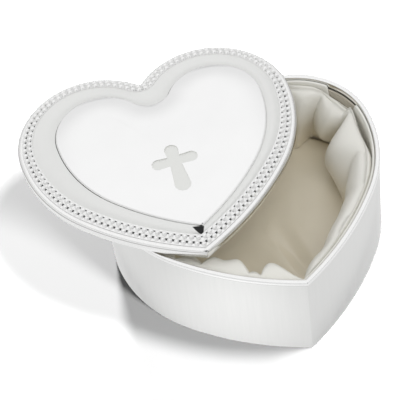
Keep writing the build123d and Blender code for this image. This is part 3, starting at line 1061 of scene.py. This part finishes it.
bm = bmesh.new()
low_row = [spot(index, min(puff_depth(share, 0), tacked), side_foot) for index, share in enumerate(shares)]
start = ring = first_ring(bm, low_row)
ring = next_ring(bm, ring, [Vector((*p.xy, (foot_height - 0.05) * mm)) for p in low_row])
for row in range(rows + 1):
    ring = next_ring(bm, ring, face_row(1 - (1 - row / rows) ** crowded_up))
crest = [vert.co.copy() for vert in ring]
back = hem_row(gap_floor, lambda share: behind + 0.4 + off_wall(share))
for turn in (30, 60, 90):
    inwards = (1 - cos(radians(turn))) * 0.6
    lift = roll * mm * sin(radians(turn))
    ring = next_ring(bm, ring, [Vector((*p.lerp(q, inwards).xy, p.z + lift)) for p, q in zip(crest, back)])
hem = [
    (lambda share: eased(puff_tops, share) + 0.2, lambda share: behind + 0.4 + off_wall(share)),
    (gap_floor, lambda share: behind + 0.4 + 0.7 * off_wall(share)),
    (gap_floor, lambda share: behind + 0.35),
    (lambda share: (gap_floor(share) + hem_top(share)) / 2, lambda share: behind + 0.3),
    (lambda share: hem_top(share) - 0.2, lambda share: behind + 0.25),
    (hem_top, lambda share: behind + 0.05),
    (hem_top, lambda share: behind if hem_top(share) < card_top + 0.4 else against_wall),
    (lambda share: min(hem_top(share), card_top + 0.3) - 0.1, lambda share: behind),
]
for height_at, depth_at in hem:
    ring = next_ring(bm, ring, hem_row(height_at, depth_at))
for height in (22.0, 14.0, side_foot):
    ring = next_ring(bm, ring, [spot(index, behind, height) for index in range(len(shares))])
next_ring(bm, ring, [vert.co.copy() for vert in start])
soft_bend = radians(70)
side_lining = piece("wall_lining", bm, "box", [satin], sharp=soft_bend)
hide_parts("side_satin", "side_wadding")

# %% [markdown]
# The floor pad is a heart of card with wadding under stretched satin. It is drawn in at the foot, has soft
# shoulders, and its middle is not quite even: a furrow and a low fold run up from beside the heart's point,
# where the cloth was pulled tight.

# %% Floor pad
pad_low, pad_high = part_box("floor_satin")
pad_heart = wall_heart.grown(-4.3 * mm)
pad_centre = Vector((0, -1.5 * mm, 0))
pad_rise = pad_high.z - pad_low.z

# Insets of the pad's side in millimetres, and shares of its height
pad_profile = [(0.8, 0), (0.25, 0.12), (0, 0.32), (0, 0.75), (0.1, 0.92), (0.35, 0.98), (1.2, 1), (3.6, 1),
               (8.4, 1)]

# Where the folds start, how far up they reach, and each one's X there, half width, and height in millimetres
pad_fold_foot = Vector((8 * mm, -27 * mm))
pad_fold_top = 5 * mm
pad_folds = [(6.0 * mm, 3.4 * mm, -1.3), (-4.5 * mm, 5 * mm, 0.8)]


def pad_top(point):
    """Unevenness of the pad's top: soft swells, the furrow and the fold."""
    height = 0.4 * noise.noise(Vector((point.x * 45, point.y * 70, 3))) + 0.12 * noise.noise(point * 240)
    for top_x, width, rise in pad_folds:
        along = (point.y - pad_fold_foot.y) / (pad_fold_top - pad_fold_foot.y)
        if 0 < along < 1:
            aside = point.x - (pad_fold_foot.x + (top_x - pad_fold_foot.x) * along)
            height += rise * sin(pi * along) * max(1 - abs(aside) / width, 0) ** 0.8
    return height * mm


bm, foot, crown = raised([
    (pad_heart.grown(-inwards * mm), pad_low.z + pad_rise * rise, main) for inwards, rise in pad_profile
])
for vert in bm.verts:
    vert.co.z += pad_top(vert.co) * max(vert.co.z - pad_low.z, 0) / pad_rise
capped(bm, foot)
shrunk(bm, crown, pad_centre, 22, lambda share, p: pad_high.z + pad_top(p))
floor_pad = piece("floor_pad", bm, "box", [satin], sharp=soft_bend)
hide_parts("floor_satin", "floor_wadding")

# %% [markdown]
# The underside of the lid has a thin pad of its own. When the lid is on square, it drops inside the rim and
# keeps the lid in place. It is made as the floor pad is, upside down.

# %% Lid pad
lid_pad_low, lid_pad_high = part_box("lid_satin")
lid_pad_heart = lid_heart.grown(-2.2 * mm)
hang = lid_pad_low.z - lid_low.z
seat = lid_pad_high.z - lid_low.z
swell = 0.12 * mm
lid_pad_profile = [(0, 1), (0, 0.72), (0.1, 0.5), (0.45, 0.3), (1.3, 0.14), (3, 0.05), (6, 0)]
bm, foot, crown = raised([
    (lid_pad_heart.grown(-inwards * mm), hang + (seat - hang) * rise, main)
    for inwards, rise in lid_pad_profile
])
capped(bm, foot)
shrunk(bm, crown, Vector((0, 0, 0)), 16, lambda share, p: hang + swell * (1 + noise.noise(p * 90)))
lid_pad = piece("lid_pad", bm, "lid", [satin], lid_place, sharp=soft_bend)
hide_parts("lid_satin", "lid_wadding")

# %% [markdown]
# What is left are plain pieces: the cards that carry the linings, and the base with its felt. Their forms are
# right as they are, so they only get their finishes: board with a faint mottle, brushed metal, pressed felt.

# %% Card, base and felt
card_board = cloth("card_board", (0.62, 0.58, 0.50), (0.56, 0.52, 0.44), 0.8, 0.0, 300.0, 0.1)
felt = cloth("felt", (0.045, 0.045, 0.05), (0.025, 0.025, 0.03), 0.95, 0.5, 1500.0, 0.5)
for node, finish in (("side_card", card_board), ("floor_card", card_board), ("lid_card", card_board),
                     ("base_plate", brushed), ("base_felt", felt)):
    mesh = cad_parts[node].data
    mesh.materials.clear()
    mesh.materials.append(finish)
    print(node, "in", finish.name)
